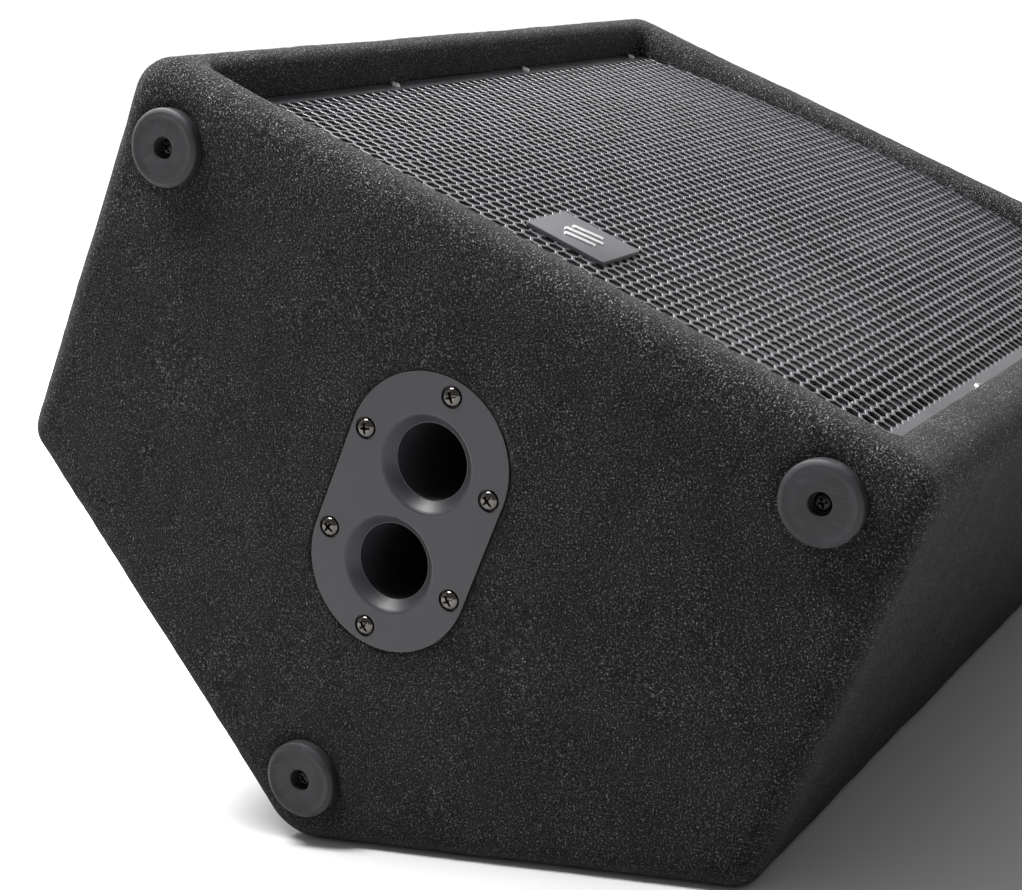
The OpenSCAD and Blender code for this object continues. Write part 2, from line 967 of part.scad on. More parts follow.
side_panel_left();
side_panel_right();
floor_panel();
rear_lower_panel();
rear_upper_panel();
toe_panel();
front_baffle();
baffle_cleats();
grille_battens();
carpet_side_left();
carpet_side_right();
carpet_floor();
carpet_rear_lower();
carpet_rear_upper();
carpet_toe();
carpet_rim();
grille();
grille_screws();
badge();
pole_socket();
pole_socket_screws();
foot_toe();
foot_top();
foot_rear();
foot_screws();
woofer_basket();
woofer_gasket();
woofer_surround();
woofer_cone();
woofer_dust_cap();
woofer_voice_coil();
woofer_spider();
woofer_top_plate();
woofer_magnet();
woofer_back_plate();
woofer_terminals();
woofer_screws();
horn();
horn_screws();
driver_front_plate();
driver_magnet();
driver_rear_plate();
driver_diaphragm();
driver_surround();
driver_cover();
port_tubes();
crossover_board();
crossover_coils();
crossover_capacitors();
crossover_resistor();
crossover_screws();
damping_foam();
internal_wires();
connector_plate();
connector_screws();
jack_sockets();
jack_nuts();
handle_pocket();
handle_screws();
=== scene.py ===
"""Looks of the stage monitor wedge: carpet covering, perforated grille, badge, rubber feet, screws, the
speakers' soft rings and all materials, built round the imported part."""
import json
import math

import bmesh
import bpy
import numpy as np
from mathutils import Matrix, Vector


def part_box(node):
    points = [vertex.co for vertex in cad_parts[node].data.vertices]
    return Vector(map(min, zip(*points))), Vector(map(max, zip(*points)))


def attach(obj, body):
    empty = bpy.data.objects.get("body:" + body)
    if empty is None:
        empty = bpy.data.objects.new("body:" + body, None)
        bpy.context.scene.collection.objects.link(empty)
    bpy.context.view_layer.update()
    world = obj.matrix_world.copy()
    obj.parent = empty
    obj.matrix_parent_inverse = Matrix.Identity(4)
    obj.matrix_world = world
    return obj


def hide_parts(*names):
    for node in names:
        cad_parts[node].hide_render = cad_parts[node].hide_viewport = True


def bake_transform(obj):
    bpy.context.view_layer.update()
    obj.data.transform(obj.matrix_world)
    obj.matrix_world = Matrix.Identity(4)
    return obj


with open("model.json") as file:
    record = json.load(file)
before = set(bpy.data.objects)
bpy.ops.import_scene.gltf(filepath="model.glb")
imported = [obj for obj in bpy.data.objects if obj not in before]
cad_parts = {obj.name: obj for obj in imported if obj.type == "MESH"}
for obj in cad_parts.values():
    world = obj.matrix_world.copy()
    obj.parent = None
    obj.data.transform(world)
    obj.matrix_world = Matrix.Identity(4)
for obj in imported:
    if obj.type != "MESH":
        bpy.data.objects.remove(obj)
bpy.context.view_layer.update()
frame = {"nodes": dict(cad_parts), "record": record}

# ---- sizes in millimetres, in the cabinet frame: x from the rear rim to the toe rim, y out of the
# front, z along the cabinet, 0 on the socket side; its origin is the middle of the pole socket ----
MM = 0.001
# How far the front slopes from level, down to the toe rim
TILT = math.radians(28.5)
FRONT_HALF = 214.0
# From the origin to the front rim, to each sloping back face, and to the baffle
FRONT_DIST = 138.0
BACK_DIST = 167.8
BAFFLE_DIST = 100.0
# The felt on the recess's walls runs this far past the baffle's face
RECESS_BELOW = 4.0
RIM_WIDTH = 26.0
TOE_PAD = 7.0
RIM_EDGE_R = 10.0
SIDE_EDGE_R = 12.0
RECESS_CORNER_R = 7.0
# The side's five corners, from the rear rim round the heel to the toe rim
CORNER_R = (20.0, 16.0, 28.0, 16.0, 20.0)
CARPET = 4.0
# The felt's unevenness: how high, and how wide, its lumps are
FELT_LUMPS = ((0.16, 5.5), (0.22, 14.0), (0.35, 70.0))

GRILLE_CROWN = 130.0
GRILLE_RISE = 12.0
# The slit round the sheet, inside the rim
GRILLE_GAP = 1.5
GRILLE_HALF = FRONT_HALF - RIM_WIDTH - GRILLE_GAP
GRILLE_SHEET = 1.5
GRILLE_ARC_R = (GRILLE_HALF ** 2 + GRILLE_RISE ** 2) / (2 * GRILLE_RISE)
HOLE_PITCH = 8.0
HOLE_FLATS = 6.35
HOLE_BEVEL = 0.25
# How far the holes reach from the mid line, towards the rear (-1) and towards the toe (1)
HOLES_END = {-1: 178.0, 1: 170.0}

BADGE_SIZE = (43.0, 41.0)
# The sheet is left open under the badge, this far within its edge
BADGE_LAP = 3.5

# The socket plate is a slot shape: a straight middle between two round ends
PLATE_END_R = 42.0
PLATE_HALF = 28.0
CONNECTOR_Y = 30.0
# Along the cabinet, and up its rear face
CONNECTOR_SIZE = (80.0, 110.0)
CONNECTOR_CORNER_R = 6.0
HANDLE_Y = -10.0
HANDLE_SIZE = (210.0, 110.0)
HANDLE_CORNER_R = 25.0
# The felt is cut this much wider than each fitting, all round
CUT_GAP = 0.5

FEET = ("foot_toe", "foot_top", "foot_rear")
FOOT_D = 37.5
FOOT_H = 6.5
# A foot's lower edge sinks into the felt, and the dent under it fades out from DENT_R outwards
FOOT_SUNK = 0.5
DENT_R = 18.0
DENT_WIDTH = 7.0
DENT_DEPTH = 0.9

side_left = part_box("carpet_side_left")
side_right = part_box("carpet_side_right")
plate_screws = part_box("pole_socket_screws")
LENGTH = (side_right[1][0] - side_left[0][0]) / MM
ORIGIN = np.array([
    side_left[0][0],
    (plate_screws[0][1] + plate_screws[1][1]) / 2,
    (plate_screws[0][2] + plate_screws[1][2]) / 2,
])
AXIS_X = np.array([0.0, -math.cos(TILT), -math.sin(TILT)])
AXIS_Y = np.array([0.0, -math.sin(TILT), math.cos(TILT)])
AXIS_Z = np.array([-1.0, 0.0, 0.0])
BODY = "cabinet"
# Straight up, in the cabinet frame
UP = np.array([-math.sin(TILT), math.cos(TILT), 0.0])


def to_row(points):
    """Points of the cabinet frame, in mm, as points of the part's frame, in metres."""
    p = np.asarray(points, dtype=float).reshape(-1, 3) * MM
    return ORIGIN + p[:, :1] * AXIS_X + p[:, 1:2] * AXIS_Y + p[:, 2:3] * AXIS_Z


def from_row(point):
    """A point of the part's frame, in metres, as a point of the cabinet frame, in mm."""
    p = (np.asarray(point) - ORIGIN) / MM
    return np.array([p @ AXIS_X, p @ AXIS_Y, p @ AXIS_Z])


def middle_of(node):
    """The middle of a CAD node's box, in the cabinet frame."""
    low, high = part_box(node)
    return from_row([(low[k] + high[k]) / 2 for k in range(3)])


# ---- making pieces ----

def add_mesh(name, points, faces, material, smooth=True, sharp_angle=None, body=BODY):
    """A piece from points of the cabinet frame, riding on a body, or on none yet."""
    mesh = bpy.data.meshes.new(name)
    mesh.from_pydata(to_row(points).tolist(), [], [tuple(map(int, f)) for f in faces])
    mesh.update()
    mesh.polygons.foreach_set("use_smooth", [smooth] * len(mesh.polygons))
    if sharp_angle is not None:
        mesh.set_sharp_from_angle(angle=math.radians(sharp_angle))
    piece = bpy.data.objects.new(name, mesh)
    bpy.context.scene.collection.objects.link(piece)
    mesh.materials.append(material)
    if body:
        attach(piece, body)
    return piece


def turned(profile, segments):
    """Points and faces of a profile of (radius, height) turned about z; an end at radius 0 is a point."""
    points = []
    rings = []
    for radius, height in profile:
        if radius <= 1e-6:
            rings.append([len(points)] * segments)
            points.append((0.0, 0.0, height))
        else:
            rings.append([len(points) + i for i in range(segments)])
            for i in range(segments):
                angle = 2 * math.pi * i / segments
                points.append((radius * math.cos(angle), radius * math.sin(angle), height))
    faces = []
    for a, b in zip(rings, rings[1:]):
        for i in range(segments):
            j = (i + 1) % segments
            loop = [a[i], a[j], b[j], b[i]]
            face = [v for k, v in enumerate(loop) if v != loop[k - 1]]
            if len(face) >= 3:
                faces.append(face)
    return np.array(points), faces


def joined(parts):
    """Several (points, faces) as one."""
    points = []
    faces = []
    for part_points, part_faces in parts:
        start = sum(len(p) for p in points)
        points.append(np.asarray(part_points, dtype=float))
        faces.extend([tuple(v + start for v in f) for f in part_faces])
    return np.vstack(points), faces


def placed(part, centre, normal="z", spin=0.0):
    """A (points, faces) part turned by spin about z, with its z along an axis of the cabinet frame."""
    points, faces = part
    c, s = math.cos(spin), math.sin(spin)
    points = points @ np.array([[c, s, 0], [-s, c, 0], [0, 0, 1]])
    turn = {
        "z": [[1, 0, 0], [0, 1, 0], [0, 0, 1]],
        "-z": [[-1, 0, 0], [0, 1, 0], [0, 0, -1]],
        "y": [[1, 0, 0], [0, 0, -1], [0, 1, 0]],
        "-x": [[0, 0, 1], [0, 1, 0], [-1, 0, 0]],
    }[normal]
    return points @ np.array(turn, dtype=float) + np.array(centre, dtype=float), faces


def arc(cx, cy, radius, start, end, steps):
    """Points of an arc, with angles in degrees."""
    angles = [math.radians(start + (end - start) * i / steps) for i in range(steps + 1)]
    return [(cx + radius * math.cos(a), cy + radius * math.sin(a)) for a in angles]


# ---- value noise, the same on every run ----

def lattice(ix, iy, iz, seed):
    """A value from 0 to 1 for each whole point, scrambled from its place."""
    h = (ix * 374761393 + iy * 668265263 + iz * 2147483647 + seed * 974634777) & 0xFFFFFFFF
    h = ((h ^ (h >> 13)) * 1274126177) & 0xFFFFFFFF
    return ((h ^ (h >> 16)) & 0xFFFF) / 65535.0


def noise(points, scale, seed):
    """Smooth noise from -1 to 1, with lumps of about scale mm."""
    p = points / scale + 1000.0
    i = np.floor(p).astype(np.int64)
    f = p - i
    f = f * f * (3 - 2 * f)
    total = np.zeros(len(points))
    for dx in (0, 1):
        for dy in (0, 1):
            for dz in (0, 1):
                weight = (
                    np.where(dx, f[:, 0], 1 - f[:, 0])
                    * np.where(dy, f[:, 1], 1 - f[:, 1])
                    * np.where(dz, f[:, 2], 1 - f[:, 2])
                )
                total += weight * lattice(i[:, 0] + dx, i[:, 1] + dy, i[:, 2] + dz, seed)
    return 2 * total - 1


# ---- the cabinet's shape as a distance, negative inside ----

def side_outline(steps=12):
    """The rounded outline of the cabinet's side."""
    knee = -(BACK_DIST - FRONT_HALF * math.sin(TILT)) / math.cos(TILT)
    corners = [
        (-FRONT_HALF, FRONT_DIST), (-FRONT_HALF, knee), (0.0, -BACK_DIST / math.cos(TILT)),
        (FRONT_HALF, knee), (FRONT_HALF, FRONT_DIST),
    ]
    points = []
    for i, corner in enumerate(corners):
        q = Vector(corner)
        a = (Vector(corners[i - 1]) - q).normalized()
        b = (Vector(corners[(i + 1) % 5]) - q).normalized()
        half = a.angle(b) / 2
        radius = CORNER_R[i]
        centre = q + (a + b).normalized() * radius / math.sin(half)
        start = q + a * radius / math.tan(half) - centre
        end = q + b * radius / math.tan(half) - centre
        sweep = math.pi - 2 * half
        for k in range(steps + 1):
            t = k / steps
            spoke = (math.sin(sweep * (1 - t)) * start + math.sin(sweep * t) * end) / math.sin(sweep)
            points.append(centre + spoke)
    return np.array([tuple(p) for p in points])


OUTLINE = side_outline()


def outline_distance(x, y):
    """Distance from the side's outline."""
    a = OUTLINE
    b = np.roll(OUTLINE, -1, axis=0)
    edge = b - a
    length2 = (edge ** 2).sum(1)
    best = np.full(x.shape, 1e9)
    inside = np.ones(x.shape, dtype=bool)
    for (ax, ay), (ex, ey), l2 in zip(a, edge, length2):
        px = x - ax
        py = y - ay
        t = np.clip((px * ex + py * ey) / l2, 0, 1)
        best = np.minimum(best, (px - t * ex) ** 2 + (py - t * ey) ** 2)
        inside &= (ex * py - ey * px) >= 0
    return np.where(inside, -1, 1) * np.sqrt(best)


def both(a, b, radius):
    """Distance from what two shapes share, with the edge between them rounded."""
    u = np.maximum(radius + a, 0)
    v = np.maximum(radius + b, 0)
    return np.minimum(-radius, np.maximum(a, b)) + np.sqrt(u * u + v * v)


def recess_distance(x, z):
    """Distance from the opening in the front, seen along y."""
    half_x = FRONT_HALF - RIM_WIDTH - TOE_PAD / 2 - RECESS_CORNER_R
    half_z = LENGTH / 2 - RIM_WIDTH - RECESS_CORNER_R
    qx = np.abs(x + TOE_PAD / 2) - half_x
    qz = np.abs(z + LENGTH / 2) - half_z
    out = np.sqrt(np.maximum(qx, 0) ** 2 + np.maximum(qz, 0) ** 2)
    return out + np.minimum(np.maximum(qx, qz), 0) - RECESS_CORNER_R


def cabinet_distance(x, y, z, flat=None):
    """Distance from the carpeted cabinet. flat is outline_distance(x, y) where it is known."""
    if flat is None:
        flat = outline_distance(x, y)
    q = flat + SIDE_EDGE_R
    r = np.abs(z + LENGTH / 2) - LENGTH / 2 + SIDE_EDGE_R
    outer = (
        np.sqrt(np.maximum(q, 0) ** 2 + np.maximum(r, 0) ** 2)
        + np.minimum(np.maximum(q, r), 0) - SIDE_EDGE_R
    )
    hollow = np.maximum(recess_distance(x, z), BAFFLE_DIST - RECESS_BELOW - y)
    return both(outer, -hollow, RIM_EDGE_R)


def surface_net(step):
    """Points and quads of the cabinet's surface on a grid of that step."""
    margin = 1.5 * step
    xs = np.arange(-FRONT_HALF - margin, FRONT_HALF + margin + step, step)
    ys = np.arange(OUTLINE[:, 1].min() - margin, FRONT_DIST + margin + step, step)
    zs = np.arange(-LENGTH - margin, margin + step, step)
    gx, gy = np.meshgrid(xs, ys, indexing="ij")
    flat = outline_distance(gx, gy)
    field = cabinet_distance(gx[:, :, None], gy[:, :, None], zs[None, None, :], flat[:, :, None])
    shape = tuple(n - 1 for n in field.shape)
    total = np.zeros(shape + (3,))
    count = np.zeros(shape)
    grid = (xs, ys, zs)
    crossings = []
    for axis in range(3):
        low = np.take(field, range(field.shape[axis] - 1), axis)
        high = np.take(field, range(1, field.shape[axis]), axis)
        where = np.argwhere((low < 0) != (high < 0))
        s0 = low[tuple(where.T)]
        s1 = high[tuple(where.T)]
        place = np.stack([grid[k][where[:, k]] for k in range(3)], 1)
        place[:, axis] += step * s0 / (s0 - s1)
        others = [k for k in range(3) if k != axis]
        cells = []
        for da, db in ((-1, -1), (0, -1), (0, 0), (-1, 0)):
            cell = where.copy()
            cell[:, others[0]] += da
            cell[:, others[1]] += db
            np.add.at(total, tuple(cell.T), place)
            np.add.at(count, tuple(cell.T), 1)
            cells.append(cell)
        crossings.append((axis, s0 < 0, cells))
    used = count > 0
    index = np.full(shape, -1, dtype=np.int64)
    index[used] = np.arange(used.sum())
    points = total[used] / count[used][:, None]
    quads = []
    for axis, leaving, cells in crossings:
        loop = np.stack([index[tuple(c.T)] for c in cells], 1)
        turn = leaving if axis != 1 else ~leaving
        quads.append(np.where(turn[:, None], loop, loop[:, ::-1]))
    return points, np.vstack(quads)


def settle(points, rounds=3, reach=0.05):
    """Points moved onto the cabinet's surface, and the surface's normals there."""
    normal = None
    for _ in range(rounds):
        x, y, z = points.T
        here = cabinet_distance(x, y, z)
        slope = np.stack([
            cabinet_distance(x + reach, y, z) - here,
            cabinet_distance(x, y + reach, z) - here,
            cabinet_distance(x, y, z + reach) - here,
        ], 1) / reach
        normal = slope / np.maximum(np.linalg.norm(slope, axis=1), 1e-6)[:, None]
        points = points - normal * np.clip(here, -1.5, 1.5)[:, None]
    return points, normal


def rounded_rect(x, y, size, radius):
    """Distance from a rounded rectangle round the origin."""
    qx = np.abs(x) - size[0] / 2 + radius
    qy = np.abs(y) - size[1] / 2 + radius
    out = np.sqrt(np.maximum(qx, 0) ** 2 + np.maximum(qy, 0) ** 2)
    return out + np.minimum(np.maximum(qx, qy), 0) - radius


# ---- materials ----

class Nodes:
    """A short way to write a shader's nodes."""

    def __init__(self, name):
        self.material = bpy.data.materials.new(name)
        self.material.use_nodes = True
        self.tree = self.material.node_tree
        self.tree.nodes.clear()
        self.out = self.add("ShaderNodeOutputMaterial")
        self.shader = self.add("ShaderNodeBsdfPrincipled")
        self.tree.links.new(self.shader.outputs[0], self.out.inputs[0])
        self.place = self.add("ShaderNodeTexCoord").outputs["Object"]

    def add(self, kind, **values):
        node = self.tree.nodes.new(kind)
        for key, value in values.items():
            setattr(node, key, value)
        return node

    def link(self, source, target):
        self.tree.links.new(source, target)

    def set(self, **values):
        for key, value in values.items():
            self.shader.inputs[key.replace("_", " ")].default_value = value

    def noise(self, scale, detail=3.0, rough=0.5, stretch=None):
        node = self.add("ShaderNodeTexNoise")
        node.inputs["Scale"].default_value = scale
        node.inputs["Detail"].default_value = detail
        node.inputs["Roughness"].default_value = rough
        self.link(self.stretched(stretch), node.inputs["Vector"])
        return node.outputs["Fac"]

    def cells(self, scale):
        node = self.add("ShaderNodeTexVoronoi", feature="F1")
        node.inputs["Scale"].default_value = scale
        self.link(self.place, node.inputs["Vector"])
        return node.outputs["Distance"]

    def stretched(self, stretch):
        if stretch is None:
            return self.place
        mapping = self.add("ShaderNodeMapping")
        mapping.inputs["Scale"].default_value = stretch
        self.link(self.place, mapping.inputs["Vector"])
        return mapping.outputs[0]

    def ramp(self, source, stops, kind="LINEAR"):
        node = self.add("ShaderNodeValToRGB")
        node.color_ramp.interpolation = kind
        elements = node.color_ramp.elements
        while len(elements) < len(stops):
            elements.new(0.5)
        for element, (position, value) in zip(elements, stops):
            element.position = position
            colour = (value, value, value) if isinstance(value, (int, float)) else value
            element.color = (*colour, 1.0)
        self.link(source, node.inputs[0])
        return node.outputs[0]

    def mix(self, factor, a, b, kind="MIX"):
        node = self.add("ShaderNodeMix", data_type="RGBA", blend_type=kind)
        for socket, value in ((node.inputs[0], factor), (node.inputs[6], a), (node.inputs[7], b)):
            if isinstance(value, (int, float)):
                socket.default_value = value
            elif isinstance(value, tuple):
                socket.default_value = (*value, 1.0)
            else:
                self.link(value, socket)
        return node.outputs[2]

    def math(self, kind, a, b=0.0):
        node = self.add("ShaderNodeMath", operation=kind)
        for socket, value in ((node.inputs[0], a), (node.inputs[1], b)):
            if isinstance(value, (int, float)):
                socket.default_value = value
            else:
                self.link(value, socket)
        return node.outputs[0]

    def spread(self, source, low, high, to_low, to_high):
        node = self.add("ShaderNodeMapRange")
        for key, value in (("From Min", low), ("From Max", high), ("To Min", to_low), ("To Max", to_high)):
            node.inputs[key].default_value = value
        self.link(source, node.inputs["Value"])
        return node.outputs[0]

    def colour(self, source):
        self.link(source, self.shader.inputs["Base Color"])

    def two_tone(self, source, dark, light, low=0.3, high=0.7):
        """The base colour, from dark to light as source goes from low to high."""
        self.colour(self.mix(self.spread(source, low, high, 0.0, 1.0), dark, light))

    def rough(self, source, smooth, coarse, low=0.3, high=0.7):
        """The roughness, from smooth to coarse as source goes from low to high."""
        self.link(self.spread(source, low, high, smooth, coarse), self.shader.inputs["Roughness"])

    def bump(self, height, strength, distance):
        node = self.add("ShaderNodeBump")
        node.inputs["Strength"].default_value = strength
        node.inputs["Distance"].default_value = distance
        self.link(height, node.inputs["Height"])
        self.link(node.outputs[0], self.shader.inputs["Normal"])


def times(colour, factor):
    """A colour made lighter or darker."""
    return tuple(c * factor for c in colour)


def carpet_material():
    """Black felt with grey fibres and painted glints on them, duller in patches, and lighter near the front
    rim with a painted highlight.
    """
    m = Nodes("needle_felt_carpet")
    clumps = m.noise(1120, 3, 0.7)
    fibres = m.noise(2700, 2, 0.6)
    patches = m.noise(34, 4, 0.6)
    wide = m.noise(7, 2, 0.5)
    dark = (0.0035, 0.0035, 0.004)
    middle = (0.0085, 0.0084, 0.009)
    pale = (0.19, 0.183, 0.19)
    # The pale speckle is partly the felt's grey fibres and partly painted glints of fibre clumps catching
    # light.
    fibre_speckle_and_glints = m.ramp(clumps, [(0.36, dark), (0.5, middle), (0.58, (0.03, 0.029, 0.03)), (0.7, pale)])
    strands = m.ramp(fibres, [(0.36, 0.4), (0.5, 0.9), (0.64, 3.0)])
    colour = m.mix(0.8, fibre_speckle_and_glints, m.mix(1.0, fibre_speckle_and_glints, strands, "MULTIPLY"))
    worn = m.spread(patches, 0.3, 0.75, 0.65, 1.0)
    colour = m.mix(1.0, colour, worn, "MULTIPLY")
    colour = m.mix(m.spread(wide, 0.35, 0.7, 0.0, 0.1), colour, (0.016, 0.0155, 0.016))
    # Painted highlight: the felt's colour is raised up to 1.55 times over the last 30 mm below the front rim,
    # where light from above catches its rounded edge.
    ahead = m.add("ShaderNodeVectorMath", operation="DOT_PRODUCT")
    ahead.inputs[1].default_value = AXIS_Y
    m.link(m.place, ahead.inputs[0])
    front = ORIGIN @ AXIS_Y + FRONT_DIST * MM
    painted_rim_highlight = m.spread(ahead.outputs["Value"], front - 0.030, front - 0.003, 1.0, 1.55)
    colour = m.mix(1.0, colour, painted_rim_highlight, "MULTIPLY")
    m.colour(colour)
    m.rough(fibres, 0.85, 1.0)
    m.set(Sheen_Weight=0.12, Sheen_Roughness=0.4, Sheen_Tint=(0.6, 0.58, 0.6, 1.0))
    m.set(Specular_IOR_Level=0.03)
    height = m.math("ADD", m.math("MULTIPLY", clumps, 0.7), m.math("MULTIPLY", fibres, 0.35))
    m.bump(height, 1.0, 0.0016)
    return m.material


def powder_coat(name, colour, rough=0.42):
    """Paint baked on metal, with a fine grain."""
    m = Nodes(name)
    grain = m.noise(2600, 2, 0.6)
    tone = m.noise(38, 3, 0.5)
    m.two_tone(tone, times(colour, 0.6), colour)
    m.rough(grain, rough - 0.08, rough + 0.12)
    m.set(Metallic=0.0, Specular_IOR_Level=0.7)
    m.bump(grain, 0.25, 0.0002)
    return m.material


def moulded_plastic(name, colour, rough=0.5, grain_scale=1400.0, strength=0.25, specular=0.5):
    """Plastic, or another plain stuff, with a grained surface and a slightly uneven tone."""
    m = Nodes(name)
    grain = m.noise(grain_scale, 3, 0.6)
    tone = m.noise(22, 4, 0.6)
    m.two_tone(tone, times(colour, 0.82), times(colour, 1.25))
    m.rough(tone, rough - 0.06, rough + 0.08)
    m.set(Specular_IOR_Level=specular)
    m.bump(grain, strength, 0.00025)
    return m.material


def foot_rubber():
    """Black rubber, greyed by dust and scuffs."""
    m = Nodes("worn_rubber")
    dust = m.noise(60, 5, 0.65)
    scuff = m.noise(240, 4, 0.7, (1.0, 0.35, 1.0))
    mould = m.noise(1300, 2, 0.5)
    base = m.mix(m.spread(dust, 0.35, 0.7, 0.0, 1.0), (0.0085, 0.0078, 0.0095), (0.019, 0.0175, 0.021))
    worn = m.ramp(scuff, [(0.0, 0.0), (0.55, 0.0), (0.75, 0.5)])
    m.colour(m.mix(worn, base, (0.05, 0.048, 0.053)))
    m.rough(scuff, 0.55, 0.75, high=0.75)
    m.set(Specular_IOR_Level=0.38)
    m.bump(m.math("ADD", mould, m.math("MULTIPLY", dust, 0.6)), 0.2, 0.0003)
    return m.material


def metal(name, colour, rough=0.25, scratch=0.1, scale=(1.0, 1.0, 1.0)):
    """Bare or plated metal. An uneven scale draws its fine marks out, as brushing does."""
    m = Nodes(name)
    fine = m.noise(900, 4, 0.6, scale)
    tone = m.noise(55, 3, 0.5)
    m.two_tone(tone, times(colour, 0.7), colour)
    m.rough(fine, rough, rough + scratch)
    m.set(Metallic=1.0)
    m.bump(fine, 0.08, 0.0001)
    return m.material


def plywood():
    """Birch plywood, with its grain and pores along the cabinet."""
    m = Nodes("birch_plywood")
    grain = m.noise(90, 5, 0.6, (0.12, 1.0, 1.0))
    pores = m.noise(600, 3, 0.6, (0.1, 1.0, 1.0))
    dark = (0.30, 0.19, 0.10)
    middle = (0.50, 0.35, 0.20)
    pale = (0.60, 0.45, 0.28)
    colour = m.ramp(grain, [(0.25, dark), (0.55, middle), (0.8, pale)])
    m.colour(m.mix(m.spread(pores, 0.55, 0.75, 0.0, 0.5), colour, (0.22, 0.13, 0.07)))
    m.rough(grain, 0.55, 0.75)
    m.bump(pores, 0.2, 0.0003)
    return m.material


def black_paint_and_painted_shade():
    """The baffle's black paint, made near-black as painted shade behind the grille, with the ply's grain
    faintly through it.
    """
    m = Nodes("black_ply_with_painted_shade")
    grain = m.noise(120, 4, 0.6, (0.15, 1.0, 1.0))
    m.two_tone(grain, (0.002, 0.002, 0.002), (0.006, 0.0058, 0.0058))
    m.rough(grain, 0.7, 0.9)
    m.bump(grain, 0.2, 0.0003)
    return m.material


def paper_cone():
    """Pressed paper pulp with a dark coating."""
    m = Nodes("coated_paper")
    pulp = m.noise(700, 4, 0.65)
    tone = m.noise(45, 3, 0.5)
    m.two_tone(tone, (0.012, 0.012, 0.013), (0.03, 0.03, 0.031))
    m.rough(pulp, 0.5, 0.75)
    m.bump(pulp, 0.35, 0.0004)
    return m.material


def woven(name, colour, scale=900.0):
    """Cloth or felt, as a field of small cells."""
    m = Nodes(name)
    weave = m.cells(scale)
    tone = m.noise(60, 3, 0.5)
    m.two_tone(tone, colour, times(colour, 1.3))
    m.rough(weave, 0.75, 0.95, 0.0, 0.6)
    m.bump(weave, 0.5, 0.0005)
    return m.material


def winding():
    """Copper wire in close turns."""
    m = Nodes("copper_winding")
    wires = m.noise(1500, 2, 0.5, (1.0, 1.0, 4.0))
    m.two_tone(wires, (0.25, 0.08, 0.03), (0.75, 0.33, 0.16), 0.35, 0.65)
    m.rough(wires, 0.25, 0.45)
    m.set(Metallic=1.0)
    m.bump(wires, 0.5, 0.0003)
    return m.material


MATERIALS = {
    "carpet": carpet_material(),
    "grille_steel": powder_coat("powder_coat_black", (0.047, 0.044, 0.051), rough=0.36),
    "badge_metal": metal("satin_badge", (0.75, 0.75, 0.76), rough=0.3, scratch=0.15, scale=(0.2, 1.0, 1.0)),
    "badge_plate": moulded_plastic("badge_grey", (0.043, 0.041, 0.046), rough=0.45),
    "socket_plastic": moulded_plastic(
        "socket_plastic", (0.0245, 0.0225, 0.0265), rough=0.42, grain_scale=2200.0, strength=0.12,
        specular=0.38),
    "black_plastic": moulded_plastic("black_plastic", (0.022, 0.022, 0.023), rough=0.5, specular=0.35),
    "screw_steel": metal("black_nickel", (0.115, 0.107, 0.098), rough=0.1, scratch=0.08),
    "black_oxide": metal("black_oxide", (0.018, 0.018, 0.018), rough=0.25, scratch=0.1),
    "zinc_steel": metal("bright_zinc", (0.42, 0.41, 0.4), rough=0.28, scratch=0.15),
    "foot_rubber": foot_rubber(),
    "black_rubber": moulded_plastic(
        "black_rubber", (0.014, 0.014, 0.015), rough=0.7, grain_scale=900.0, strength=0.3),
    "plywood": plywood(),
    "ferrite": moulded_plastic("ferrite", (0.05, 0.05, 0.053), rough=0.6, grain_scale=500.0, strength=0.4),
    "paper_cone": paper_cone(),
    "copper": winding(),
    "spider_cloth": woven("spider_cloth", (0.5, 0.3, 0.09)),
    "titanium": metal("thin_dome", (0.5, 0.5, 0.52), rough=0.3, scratch=0.1),
    "board_green": moulded_plastic("circuit_board", (0.03, 0.13, 0.055), rough=0.4),
    "film_yellow": moulded_plastic("film_yellow", (0.6, 0.42, 0.05), rough=0.3),
    "resistor_white": moulded_plastic(
        "cement", (0.62, 0.6, 0.55), rough=0.8, grain_scale=500.0, strength=0.4),
    "foam_grey": woven("damping_felt", (0.12, 0.12, 0.115), scale=260.0),
    "wire_red": moulded_plastic("wire_red", (0.3, 0.02, 0.015), rough=0.35),
}
# Near-black paint for the baffle, which also stands in as painted shade behind the grille
BAFFLE_BLACK_AND_SHADE = black_paint_and_painted_shade()


def dress_nodes():
    """Gives each CAD node the material of its slot."""
    for sub in frame["record"]["subparts"]:
        node = frame["nodes"][sub["node"]]
        material = MATERIALS[sub["material_slot"]]
        # The baffle gets near-black paint that also stands in as painted shade behind the grille
        if sub["node"] == "front_baffle":
            material = BAFFLE_BLACK_AND_SHADE
        node.data.materials.clear()
        node.data.materials.append(material)


# ---- carpet ----

def cut_hole(points, quads, test, on_face):
    """Takes the faces where test is negative out of a flat face, and moves the edge left onto its zero."""
    near = on_face(points)
    distance = np.where(near, test(points), 1e3)
    centre = distance[quads].mean(1)
    flat = near[quads].all(1)
    gone = flat & (centre < 0)
    kept = quads[~gone]
    edge = np.intersect1d(np.unique(quads[gone]), np.unique(kept))
    reach = 0.02
    for _ in range(3):
        here = test(points[edge])
        slopes = []
        for axis in range(3):
            moved = points[edge].copy()
            moved[:, axis] += reach
            slopes.append((test(moved) - here) / reach)
        slope = np.stack(slopes, 1)
        slope /= np.maximum(np.linalg.norm(slope, axis=1), 1e-6)[:, None]
        points[edge] -= slope * here[:, None]
    return points, kept, edge


